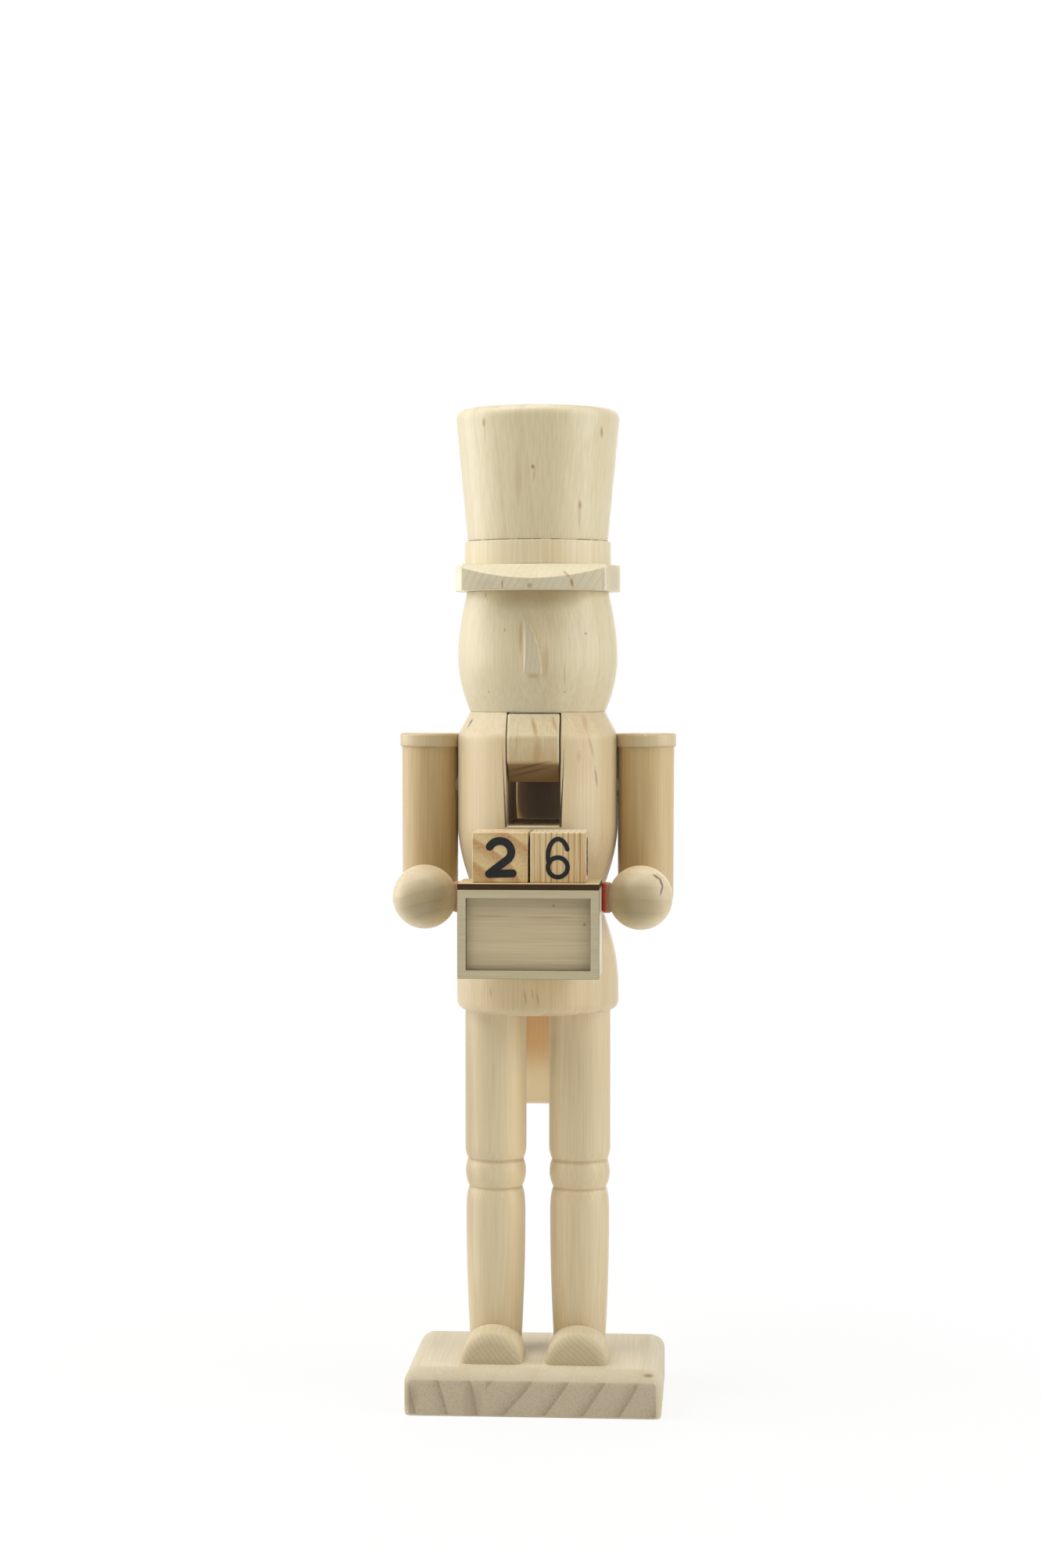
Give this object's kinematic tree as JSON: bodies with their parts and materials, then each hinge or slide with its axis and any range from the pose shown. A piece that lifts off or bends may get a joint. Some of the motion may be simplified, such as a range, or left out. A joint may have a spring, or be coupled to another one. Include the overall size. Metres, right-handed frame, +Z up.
{
  "type": "nutcracker figure",
  "caption": "Unpainted turned-wood nutcracker figure on a block base, with a lever-worked jaw, holding a small blank sign box whose shelf carries loose number blocks.",
  "frame": {"origin": "centre of the base's underside", "axes": "+Z up along the figure, the figure faces -Y, +X to the viewer's right"},
  "size_m": [0.1062, 0.1014, 0.38],
  "materials": {
    "pale_pine": "turned and sanded, unfinished",
    "body_pine": "turned and sanded, unfinished, with reddish streaks",
    "arm_pine": "turned and sanded, unfinished, darker",
    "base_pine": "sawn and sanded, with end grain in front",
    "lever_pine": "sawn and sanded, orange-toned",
    "dowel_birch": "plain dowel rod",
    "frame_ply": "thin board with a sage-beige stain",
    "panel_ply": "thin board, bare",
    "burnt_ply": "laser-cut board with burnt edges",
    "red_foam": "red foam mounting pad",
    "orange_block": "sanded pine cube, orange heartwood",
    "striped_block": "sanded pine cube, upright stripes"
  },
  "bodies": {
    "figure": {"base": "base_pine", "left_leg": "pale_pine", "right_leg": "pale_pine", "left_foot": "base_pine", "right_foot": "base_pine", "left_ankle_dowel": "dowel_birch", "right_ankle_dowel": "dowel_birch", "left_hip_dowel": "dowel_birch", "right_hip_dowel": "dowel_birch", "torso": "body_pine", "pivot_pin": "dowel_birch", "head": "pale_pine", "nose": "pale_pine", "left_neck_dowel": "dowel_birch", "right_neck_dowel": "dowel_birch", "hat_brim": "pale_pine", "hat_band": "pale_pine", "hat_crown": "pale_pine", "hat_dowel": "dowel_birch", "left_arm": "arm_pine", "right_arm": "arm_pine", "left_shoulder_dowel": "dowel_birch", "right_shoulder_dowel": "dowel_birch", "left_forearm": "arm_pine", "right_forearm": "arm_pine", "left_wrist_dowel": "dowel_birch", "right_wrist_dowel": "dowel_birch", "left_hand": "arm_pine", "right_hand": "arm_pine", "left_pad": "red_foam", "right_pad": "red_foam", "sign_frame": "frame_ply", "sign_panel": "panel_ply", "sign_back": "panel_ply", "sign_floor": "panel_ply", "sign_shelf": "burnt_ply", "sign_left_side": "frame_ply", "sign_right_side": "frame_ply"},
    "jaw": {"jaw_lever": "lever_pine"},
    "tens": {"tens_block": "orange_block"},
    "units": {"units_block": "striped_block"}
  },
  "joints": [
    {"name": "jaw_hinge", "type": "hinge", "parent": "figure", "child": "jaw", "pos_m": [0, 0.006, 0.246], "axis": [1, 0, 0], "range_deg": [0, 25]},
    {"name": "tens_lift", "type": "slide", "parent": "figure", "child": "tens", "axis": [0, 0, 1], "range_m": [0, 0.05]},
    {"name": "units_lift", "type": "slide", "parent": "figure", "child": "units", "axis": [0, 0, 1], "range_m": [0, 0.05]}
  ]
}
